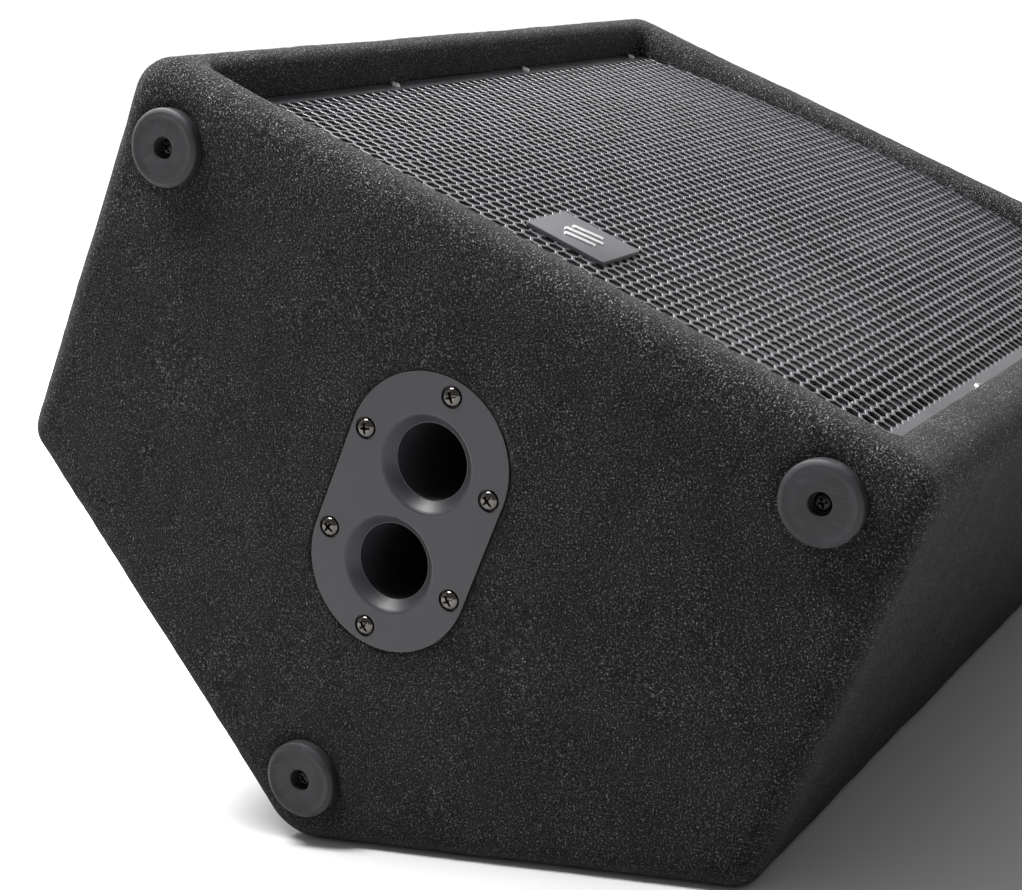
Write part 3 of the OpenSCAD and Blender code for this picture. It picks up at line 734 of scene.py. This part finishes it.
def skirt(points, quads, edge, depth):
    """Turns the edge of a hole in, by depth, so the carpet shows its thickness there."""
    marked = np.zeros(len(points), dtype=bool)
    marked[edge] = True
    pairs = []
    for quad in quads[marked[quads].sum(1) >= 2]:
        for k in range(4):
            a, b = int(quad[k]), int(quad[(k + 1) % 4])
            if marked[a] and marked[b]:
                pairs.append((a, b))
    known = set(pairs)
    rim = [(a, b) for a, b in pairs if (b, a) not in known]
    ring = sorted({v for pair in rim for v in pair})
    lower = {v: len(points) + i for i, v in enumerate(ring)}
    points = np.vstack([points, points[ring] + depth])
    walls = np.array([(b, a, lower[a], lower[b]) for a, b in rim])
    return points, np.vstack([quads, walls])


def cut_out(x, y, size, radius):
    """Distance from the hole in the felt round a fitting of that size."""
    return rounded_rect(x, y, [side + 2 * CUT_GAP for side in size], radius + CUT_GAP)


def fitting_holes():
    """For each fitting, the distance from its cut-out, the face that it is in, and how the felt turns in."""
    plate_size = (2 * PLATE_END_R, 2 * (PLATE_HALF + PLATE_END_R))
    near = 0.6
    return [
        (
            lambda p: cut_out(p[:, 0], p[:, 1], plate_size, PLATE_END_R),
            lambda p: p[:, 2] > -near,
            [0, 0, -CARPET],
        ),
        (
            lambda p: cut_out(p[:, 0], p[:, 1] - HANDLE_Y, HANDLE_SIZE, HANDLE_CORNER_R),
            lambda p: p[:, 2] < -LENGTH + near,
            [0, 0, CARPET],
        ),
        (
            lambda p: cut_out(
                p[:, 2] + LENGTH / 2, p[:, 1] - CONNECTOR_Y, CONNECTOR_SIZE, CONNECTOR_CORNER_R),
            lambda p: p[:, 0] < -FRONT_HALF + near,
            [CARPET, 0, 0],
        ),
    ]


def carpet_skin():
    """One covering over the cabinet, with the fittings cut out of it and the felt's unevenness."""
    step = 2.5
    points, quads = surface_net(step)
    points, normals = settle(points)
    # The recess's floor is the baffle, which has no felt
    corners = points[quads]
    middles = corners.mean(1)
    floor = (
        (corners[:, :, 1] < BAFFLE_DIST - RECESS_BELOW / 2).all(1)
        & (recess_distance(corners[:, :, 0], corners[:, :, 2]) < 0.5).all(1)
        & (np.abs(normals[quads][:, :, 1].mean(1)) > 0.3)
        & (outline_distance(middles[:, 0], middles[:, 1]) < -8)
    )
    quads = quads[~floor]
    edges = []
    for test, on_face, depth in fitting_holes():
        points, quads, edge = cut_hole(points, quads, test, on_face)
        edges.append((edge, depth))
    lumps = sum(
        height * noise(points, scale, seed)
        for seed, (height, scale) in enumerate(FELT_LUMPS, 1)
    )
    dents = np.zeros(len(points))
    for node in FEET:
        away = np.linalg.norm(points[:, :2] - middle_of(node)[:2], axis=1)
        near = np.clip(1 - (away - DENT_R) / DENT_WIDTH, 0, 1)
        dents += np.where(points[:, 2] > -SIDE_EDGE_R / 2, -DENT_DEPTH * near ** 2, 0)
    points = points + normals * (lumps + dents)[:, None]
    # Nothing dips below the floor
    height = to_row(points)[:, 2] / MM
    points = points - np.minimum(height, 0)[:, None] * UP
    for edge, depth in edges:
        points, quads = skirt(points, quads, edge, np.array(depth, dtype=float))
    used = np.unique(quads)
    renumber = np.full(len(points), -1)
    renumber[used] = np.arange(len(used))
    skin = add_mesh("carpet_covering", points[used], renumber[quads], MATERIALS["carpet"])
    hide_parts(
        "carpet_side_left", "carpet_side_right", "carpet_floor", "carpet_rear_lower",
        "carpet_rear_upper", "carpet_toe", "carpet_rim")


# ---- grille ----

def grille_level(x):
    """The height of the sheet's top at x."""
    return GRILLE_CROWN - GRILLE_ARC_R + np.sqrt(GRILLE_ARC_R ** 2 - x ** 2)


def on_arch(x, z, depth):
    """A point of the arched sheet, depth below its top."""
    nx = x / GRILLE_ARC_R
    ny = np.sqrt(1 - nx ** 2)
    return np.stack([x - nx * depth, grille_level(x) - ny * depth, z], -1)


def hexagon(radius):
    """The corners of a hexagon, with one of them on the x axis."""
    angles = np.radians(60 * np.arange(6))
    return np.stack([radius * np.cos(angles), radius * np.sin(angles)], 1)


def hole_centres(columns, column, half_length):
    """The middles of the sheet's cells, but for those under the badge. z is from the cabinet's middle."""
    rows = int(half_length / HOLE_PITCH) + 1
    centres = []
    for i in range(-columns[-1], columns[1] + 1):
        for j in range(-rows, rows + 1):
            z = j * HOLE_PITCH + (HOLE_PITCH / 2 if i % 2 else 0)
            if abs(z) < half_length + HOLE_PITCH / 2:
                centres.append((i * column, z))
    centres = np.array(centres)
    badge_z = middle_of("badge")[2] + LENGTH / 2
    open_x, open_z = (side / 2 - BADGE_LAP for side in BADGE_SIZE)
    under = (np.abs(centres[:, 0]) < open_x) & (np.abs(centres[:, 1] - badge_z) < open_z)
    return centres[~under]


def grille_sheet():
    """The perforated sheet: a hexagon of metal round each hole, and a plain border on the long edges."""
    cell_r = HOLE_PITCH / math.sqrt(3)
    column = 1.5 * cell_r
    hole_r = HOLE_FLATS / math.sqrt(3)
    half_length = LENGTH / 2 - RIM_WIDTH - GRILLE_GAP
    columns = {side: int((end - hole_r) / column) for side, end in HOLES_END.items()}
    centres = hole_centres(columns, column, half_length)
    # From the cell's edge on top, over the hole's bevelled edge, down its wall and out below
    loops = [
        (hexagon(cell_r), 0.0), (hexagon(hole_r + HOLE_BEVEL), 0.0), (hexagon(hole_r), HOLE_BEVEL),
        (hexagon(hole_r), GRILLE_SHEET - HOLE_BEVEL), (hexagon(hole_r + HOLE_BEVEL), GRILLE_SHEET),
        (hexagon(cell_r), GRILLE_SHEET),
    ]
    points = []
    ids = []
    start = 0
    # Corners that neighbours share are told by their places, to this many steps a millimetre
    steps_per_mm = 50
    for shape, depth in loops:
        flat = (centres[:, None, :] + shape[None]).reshape(-1, 2)
        keys = np.round(flat * steps_per_mm).astype(np.int64)
        _, first, back = np.unique(keys, axis=0, return_index=True, return_inverse=True)
        flat = flat[first]
        points.append(on_arch(flat[:, 0], flat[:, 1] - LENGTH / 2, depth))
        ids.append(start + back.reshape(-1, 6))
        start += len(flat)
    faces = []
    for a, b in zip(ids, ids[1:]):
        for k in range(6):
            n = (k + 1) % 6
            faces.append(np.stack([a[:, k], b[:, k], b[:, n], a[:, n]], 1))
    points = np.vstack(points)
    faces = np.vstack(faces)
    border_points, border_faces = grille_borders(columns, column, cell_r, half_length)
    faces = [tuple(f) for f in faces] + [tuple(v + len(points) for v in f) for f in border_faces]
    points = np.vstack([points, border_points])
    sheet = add_mesh("grille_sheet", points, faces, MATERIALS["grille_steel"], smooth=False)
    trim_grille(sheet, half_length)
    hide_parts("grille")


def grille_borders(columns, column, cell_r, half_length):
    """The plain strips along the rear and toe edges, from the zigzag of the last holes outwards."""
    points = []
    faces = []
    rows = int(half_length / HOLE_PITCH) + 2
    for side in (-1, 1):
        last = columns[side] * column
        offset = HOLE_PITCH / 2 if columns[side] % 2 else 0.0
        inner = last + cell_r
        edge = GRILLE_HALF - (TOE_PAD if side > 0 else 0.0)
        # Lines along the strip, and how far each drops: the last one bevels the edge
        levels = [inner + 0.5, (inner + edge) / 2, edge - 0.8, edge]
        drops = [0.0, 0.0, 0.0, 0.5]
        zigzag = []
        for j in range(-rows, rows + 1):
            z = j * HOLE_PITCH + offset
            zigzag.append((last + cell_r / 2, z - HOLE_PITCH / 2))
            zigzag.append((inner, z))
        for depth, flip in ((0.0, False), (GRILLE_SHEET, True)):
            first = len(points)
            for x, z in zigzag:
                lines = [(x, 0.0)] + list(zip(levels, drops))
                for across, drop in lines:
                    below = drop if not flip else 0.0
                    points.append(on_arch(np.array(side * across), np.array(z - LENGTH / 2), depth + below))
            wide = len(levels) + 1
            for j in range(len(zigzag) - 1):
                for k in range(wide - 1):
                    a = first + j * wide + k
                    loop = (a, a + 1, a + wide + 1, a + wide)
                    faces.append(loop if (side > 0) != flip else loop[::-1])
        count = len(zigzag) * wide
        top = len(points) - 2 * count
        for j in range(len(zigzag) - 1):
            a = top + j * wide + wide - 1
            loop = (a, a + count, a + count + wide, a + wide)
            faces.append(loop if side > 0 else loop[::-1])
    return np.array(points), faces


def trim_grille(sheet, half_length):
    """Joins the sheet's two sides round the gap under the badge, and cuts its short ends square."""
    mesh = bmesh.new()
    mesh.from_mesh(sheet.data)
    bmesh.ops.remove_doubles(mesh, verts=mesh.verts, dist=0.02 * MM)
    within = half_length * MM * 0.95
    inner = [e for e in mesh.edges if e.is_boundary and abs(e.verts[0].co.x) < within]
    bmesh.ops.bridge_loops(mesh, edges=inner)
    middle = to_row([[0, 0, -LENGTH / 2]])[0]
    for side in (-1, 1):
        place = Vector(middle) + Vector((side * half_length * MM, 0, 0))
        everything = mesh.verts[:] + mesh.edges[:] + mesh.faces[:]
        bmesh.ops.bisect_plane(
            mesh, geom=everything, plane_co=place, plane_no=Vector((side, 0, 0)), clear_outer=True)
    mesh.to_mesh(sheet.data)
    mesh.free()


# ---- screws and feet ----

def screw_head(radius, height, cross):
    """A domed head with a tapered cross recess: each ring of the dome dips where the cross runs."""
    segments = 96
    rings = 22
    shank = 0.8
    deepest = height * 1.1
    half_width = cross * 0.15
    angles = [2 * math.pi * i / segments for i in range(segments)]
    circle = [(math.cos(a), math.sin(a)) for a in angles]
    points = []
    for r in range(rings + 1):
        rho = radius * math.sin(r / rings * math.pi / 2)
        dome = height * (1 - (rho / radius) ** 2.6) ** 0.5
        for c, s in circle:
            x, y = rho * c, rho * s
            arm = min(abs(x), abs(y))
            along = max(abs(x), abs(y))
            taper = max(0.0, 1 - along / cross)
            dip = deepest * min(1.0, taper * 1.6) if arm < half_width * (1 + 0.4 * taper) else 0.0
            points.append((x, y, dome - dip))
    points += [(radius * c, radius * s, -shank) for c, s in circle]
    faces = []
    for r in range(rings + 1):
        a, b = r * segments, (r + 1) * segments
        for i in range(segments):
            j = (i + 1) % segments
            faces.append((a + i, b + i, b + j, a + j))
    return np.array(points), faces


def screws(name, node, places, normal, radius, height, material="screw_steel"):
    """Domed screws at the places of a CAD node's screws, each turned its own way."""
    parts = []
    for i, place in enumerate(places):
        spin = math.radians((37 * (i + 1) ** 2) % 90)
        parts.append(placed(screw_head(radius, height, cross=radius * 0.62), place, normal, spin))
    points, faces = joined(parts)
    piece = add_mesh(name, points, faces, MATERIALS[material], sharp_angle=35)
    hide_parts(node)


def foot_profile():
    """From the felt up: a soft chamfered edge, a shallow dish and a round hole, as (radius, height)."""
    radius = FOOT_D / 2
    height = FOOT_H + FOOT_SUNK
    chamfer = 2.2
    hole = 5.3
    floor = height - 0.8
    return (
        [(radius - 0.5, 0.0), (radius, 0.7), (radius, height - 1.7), (radius - 0.12, height - 1.3)]
        + [(radius - 0.45, height - 0.95), (radius - 1.6, height - 0.25), (radius - chamfer, height - 0.03)]
        + [(radius - chamfer - 0.35, height), (radius - chamfer - 0.8, height - 0.14)]
        + [(radius - chamfer * 2, floor + 0.08), (radius - chamfer * 2 - 1, floor)]
        + [(radius - 7.5, floor + 0.06), (radius - 8.2, floor + 0.14), (radius - 8.9, floor + 0.05)]
        + [(hole + 2.0, floor + 0.05), (hole + 0.5, floor), (hole + 0.12, floor - 0.14)]
        + [(hole, floor - 0.5), (hole, 0.9), (0.0, 0.9)]
    )


def feet():
    """Turned rubber feet, each at the place of its CAD node."""
    for node in FEET:
        x, y, _ = middle_of(node)
        points, faces = turned(foot_profile(), 128)
        where = points + [x, y, -FOOT_SUNK]
        piece = add_mesh("rubber_" + node, where, faces, MATERIALS["foot_rubber"], sharp_angle=50)
        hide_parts(node)


def foot_screw_places():
    """One screw in the middle of each foot, seated in its hole."""
    seat = 1.2
    return [(*middle_of(node)[:2], seat) for node in FEET]


def socket_screw_places():
    """Two screws at the plate's ends and two on each side of it, a little sunk."""
    end, side, along, seat = 62.0, 34.7, 26.9, -0.2
    corners = [(i * side, j * along, seat) for i in (1, -1) for j in (1, -1)]
    return [(0, end, seat), (0, -end, seat)] + corners


def grille_screw_places():
    """A row of screws along each long edge of the sheet."""
    inset, margin, count = 3.8, 43.0, 4
    spacing = (LENGTH - 2 * margin) / (count - 1)
    out = []
    for x in (-GRILLE_HALF + inset, GRILLE_HALF - inset - TOE_PAD):
        for i in range(count):
            out.append((x, float(grille_level(x)), -margin - i * spacing))
    return out


def connector_screw_places():
    """A screw in each corner of the connector plate."""
    inset, proud = 8.0, 0.5
    half_z, half_y = (side / 2 - inset for side in CONNECTOR_SIZE)
    return [
        (-FRONT_HALF - proud, CONNECTOR_Y + j * half_y, -LENGTH / 2 + i * half_z)
        for i in (-1, 1) for j in (-1, 1)
    ]


def handle_screw_places():
    """Three screws along each long edge of the hand pocket's flange."""
    spacing, inset, proud = 84.0, 5.0, 1.0
    return [
        (i * spacing, HANDLE_Y + j * (HANDLE_SIZE[1] / 2 - inset), -LENGTH - proud)
        for i in (-1, 0, 1) for j in (-1, 1)
    ]


# ---- badge ----

def bevelled_slab(size, thickness, radius, bevel):
    """A rounded plate with bevelled edges, standing on z = 0."""
    outline = []
    for cx, cy, start in ((1, 1, 0), (-1, 1, 90), (-1, -1, 180), (1, -1, 270)):
        x, y = cx * (size[0] / 2 - radius), cy * (size[1] / 2 - radius)
        outline += arc(x, y, radius, start, start + 90, 6)
    outline = np.array(outline)
    out = outline / np.linalg.norm(outline, axis=1)[:, None]
    rings = [(0.0, 0.0), (thickness - bevel, 0.0), (thickness - bevel * 0.3, bevel * 0.3), (thickness, bevel)]
    points = []
    for level, inset in rings:
        points += [(x - ox * inset, y - oy * inset, level) for (x, y), (ox, oy) in zip(outline, out)]
    n = len(outline)
    top = (len(rings) - 1) * n
    faces = []
    for a in range(0, top, n):
        b = a + n
        for i in range(n):
            j = (i + 1) % n
            faces.append((a + i, a + j, b + j, b + i))
    faces.append(tuple(range(top, top + n)))
    faces.append(tuple(reversed(range(n))))
    return np.array(points, dtype=float), faces


def badge():
    """A generic plate with three slanted bars."""
    z = middle_of("badge")[2]
    thickness = 2.0
    plate = bevelled_slab(BADGE_SIZE, thickness, radius=1.5, bevel=0.5)
    plate = placed(plate, (0, GRILLE_CROWN, z), "y")
    piece = add_mesh("badge_plate", *plate, MATERIALS["badge_plate"], sharp_angle=30)
    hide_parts("badge")
    length, shorter, width, pitch, shift = 20.0, 4.0, 3.6, 7.0, 1.5
    slant = math.radians(12)
    bars = []
    for i in (-1, 0, 1):
        bar = bevelled_slab((length - shorter * abs(i), width), 0.55, radius=1.2, bevel=0.25)
        place = (i * shift, GRILLE_CROWN + thickness, z + i * pitch)
        bars.append(placed(bar, place, "y", slant))
    points, faces = joined(bars)
    marks = add_mesh("badge_bars", points, faces, MATERIALS["badge_metal"], sharp_angle=30)


# ---- the speakers' soft rings ----

def flexing_ring(name, node, profile):
    """A soft ring turned from a profile about the middle of a CAD node, on the baffle, riding on no body.
    Its points are laid out along x, each at its own radius, while its transform is baked, and then put back."""
    centre = middle_of(node)
    slot = next(sub["material_slot"] for sub in frame["record"]["subparts"] if sub["node"] == node)
    points, faces = turned(profile + profile[:1], 128)
    where, _ = placed((points, faces), (centre[0], BAFFLE_DIST, centre[2]), "y")
    ring = add_mesh(name, where, faces, MATERIALS[slot], sharp_angle=50, body=None)
    rest = np.zeros(points.size)
    ring.data.vertices.foreach_get("co", rest)
    radii = np.zeros(points.shape)
    radii[:, 0] = np.hypot(points[:, 0], points[:, 1]) * MM
    ring.data.vertices.foreach_set("co", radii.ravel())
    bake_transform(ring)
    ring.data.vertices.foreach_set("co", rest)
    ring.data.update()
    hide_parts(node)


def half_roll():
    """The rubber half roll between the woofer's cone and its basket. Heights are from the baffle."""
    lip, middle, rim = 124.0, 133.5, 141.0
    level, radius, skin, steps = 5.0, 5.5, 0.8, 24
    lap = math.degrees(math.asin(skin / radius))
    below = [(lip, level)] + arc(middle, level, radius - skin, 180, 0, steps) + [(rim, level)]
    above = [(rim, level + skin)] + arc(middle, level, radius, lap, 180 - lap, steps) + [(lip, level + skin)]
    flexing_ring(
        "woofer_half_roll", "woofer_surround", below + above)


def spider():
    """The corrugated cloth between the woofer's voice coil and its basket."""
    start, end, rim = 25.7, 57.7, 64.0
    level, depth, waves, half, steps = -69.1, 1.5, 5, 0.4, 80
    line = []
    for i in range(steps + 1):
        t = i / steps
        line.append((start + (end - start) * t, level + depth * math.sin(2 * math.pi * waves * t)))
    line.append((rim, level))
    below = [(r, z - half) for r, z in line]
    above = [(r, z + half) for r, z in reversed(line)]
    flexing_ring("woofer_spider_cloth", "woofer_spider", below + above)


def driver_surround():
    """The driver's thin surround, which thickens to a clamped rim."""
    start, end, rim, steps = 22.5, 28.0, 34.0, 8
    back, thin, thick = -138.4, 0.4, 2.4
    bend = [start + (end - start) * i / steps for i in range(steps + 1)]
    below = [(r, back) for r in bend] + [(rim, back)]
    above = [(rim, back + thick), (end, back + thick)] + [(r, back + thin) for r in reversed(bend)]
    flexing_ring("driver_soft_surround", "driver_surround", below + above)


# ---- stage, lights and camera ----

def soft_light(name, place, aim, size, power):
    """A rectangular light that faces the point aim."""
    data = bpy.data.lights.new(name, "AREA")
    data.shape = "RECTANGLE"
    data.size, data.size_y = size
    data.energy = power
    light = bpy.data.objects.new(name, data)
    light.location = place
    light.rotation_euler = (Vector(aim) - Vector(place)).to_track_quat("-Z", "Y").to_euler()
    bpy.context.scene.collection.objects.link(light)


def studio():
    """A white studio, darker towards the camera's side of the room."""
    world = bpy.data.worlds.new("studio")
    world.use_nodes = True
    nodes, links = world.node_tree.nodes, world.node_tree.links
    place = nodes.new("ShaderNodeTexCoord")
    ahead = nodes.new("ShaderNodeVectorMath")
    ahead.operation = "DOT_PRODUCT"
    # The way that the camera looks, across the floor
    ahead.inputs[1].default_value = (0.85, 0.5, 0.1)
    links.new(place.outputs["Generated"], ahead.inputs[0])
    fade = nodes.new("ShaderNodeMapRange")
    for key, value in (("From Min", -0.15), ("From Max", 0.6), ("To Min", 0.31), ("To Max", 1.03)):
        fade.inputs[key].default_value = value
    links.new(ahead.outputs["Value"], fade.inputs["Value"])
    back = nodes["Background"]
    back.inputs[0].default_value = (1.0, 1.0, 1.0, 1.0)
    links.new(fade.outputs[0], back.inputs[1])
    return world


def stage():
    """A pale floor that lightens away from the cabinet, with a painted glow that rises to white there, and
    two soft lights from above.
    """
    data = bpy.data.meshes.new("floor")
    half = 40.0
    corners = [(x * half, y * half, 0) for x, y in ((-1, -1), (1, -1), (1, 1), (-1, 1))]
    data.from_pydata(corners, [], [(0, 1, 2, 3)])
    floor = bpy.data.objects.new("floor", data)
    bpy.context.scene.collection.objects.link(floor)
    m = Nodes("pale_floor")
    away = m.add("ShaderNodeVectorMath", operation="LENGTH")
    m.link(m.place, away.inputs[0])
    uneven = m.math("MULTIPLY", m.noise(3.0, 2), 0.2)
    tone = m.spread(m.math("ADD", away.outputs["Value"], uneven), 0.7, 2.6, 0.5, 0.97)
    shade = m.add("ShaderNodeCombineColor")
    for socket in shade.inputs[:3]:
        m.link(tone, socket)
    m.colour(shade.outputs[0])
    # Painted light: the floor glows, from nothing within 0.8 m to 0.55 at 2.2 m, filling in where the lamps'
    # light falls off.
    m.link(m.spread(away.outputs["Value"], 0.8, 2.2, 0.0, 0.55), m.shader.inputs["Emission Strength"])
    m.set(Roughness=0.95, Emission_Color=(1.0, 1.0, 1.0, 1.0), Specular_IOR_Level=0.0)
    data.materials.append(m.material)
    bpy.context.scene.world = studio()
    bpy.context.scene.view_settings.view_transform = "Standard"
    soft_light("key", place=(-0.25, 0.7, 2.15), aim=(0.0, 0.0, 0.2), size=(1.2, 0.9), power=170)
    soft_light("rear_key", place=(0.6, 1.3, 1.7), aim=(0.0, 0.0, 0.3), size=(1.4, 0.8), power=45)


def camera():
    """The photograph's viewing angle: low, close to the toe end of the socket side."""
    data = bpy.data.cameras.new("camera")
    data.sensor_width = 36.0
    data.lens = 74.9
    data.shift_x = 0.0416
    data.shift_y = -0.0494
    view = bpy.data.objects.new("camera", data)
    place = (-1.0864, -0.4743, 0.3750)
    forward = Vector((0.85548, 0.49251, -0.15996))
    up = Vector((0.18546, -0.00299, 0.98265))
    right = forward.cross(up).normalized()
    up = right.cross(forward)
    turn = Matrix((right, up, -forward)).transposed().to_4x4()
    view.matrix_world = Matrix.Translation(place) @ turn
    bpy.context.scene.collection.objects.link(view)
    bpy.context.scene.camera = view


# ---- the scene ----

camera()
stage()
dress_nodes()
carpet_skin()
grille_sheet()
feet()
screws(
    "foot_screw_heads", "foot_screws", foot_screw_places(), "z", radius=4.2, height=1.6,
    material="black_oxide")
screws(
    "socket_screw_heads", "pole_socket_screws", socket_screw_places(), "z", radius=4.65, height=2.7)
screws(
    "grille_screw_heads", "grille_screws", grille_screw_places(), "y", radius=3.4, height=1.7,
    material="zinc_steel")
screws(
    "connector_screw_heads", "connector_screws", connector_screw_places(), "-x", radius=4.0, height=1.9)
screws(
    "handle_screw_heads", "handle_screws", handle_screw_places(), "-z", radius=4.0, height=1.9)
badge()
half_roll()
spider()
driver_surround()
